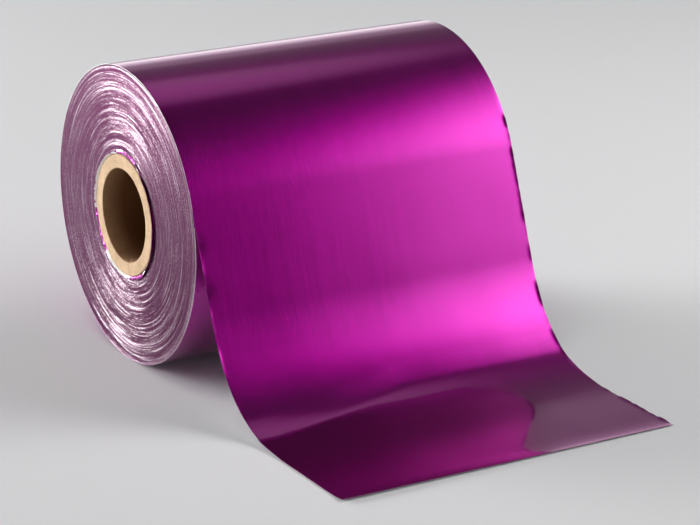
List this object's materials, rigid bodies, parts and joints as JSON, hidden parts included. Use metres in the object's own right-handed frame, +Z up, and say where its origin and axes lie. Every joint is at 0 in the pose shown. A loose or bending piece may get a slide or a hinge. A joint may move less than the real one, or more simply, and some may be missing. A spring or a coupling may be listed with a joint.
{
  "type": "aluminium foil roll",
  "caption": "Roll of purple lacquered aluminium foil wound on a card core, lying on its side with the loose end curving down and out flat on the floor.",
  "frame": {"origin": "centre of the core's bore, halfway along it", "axes": "+X along the bore, +Z up, the loose end comes down on the -Y side and the floor is at the height of the roll's underside"},
  "size_m": [0.1306, 0.2013, 0.1052],
  "materials": {
    "card": "raw card",
    "foil": "satin with a clear purple lacquer, plain silver on the underside"
  },
  "bodies": {
    "root": {"core": "card", "foil": "foil"}
  },
  "joints": []
}
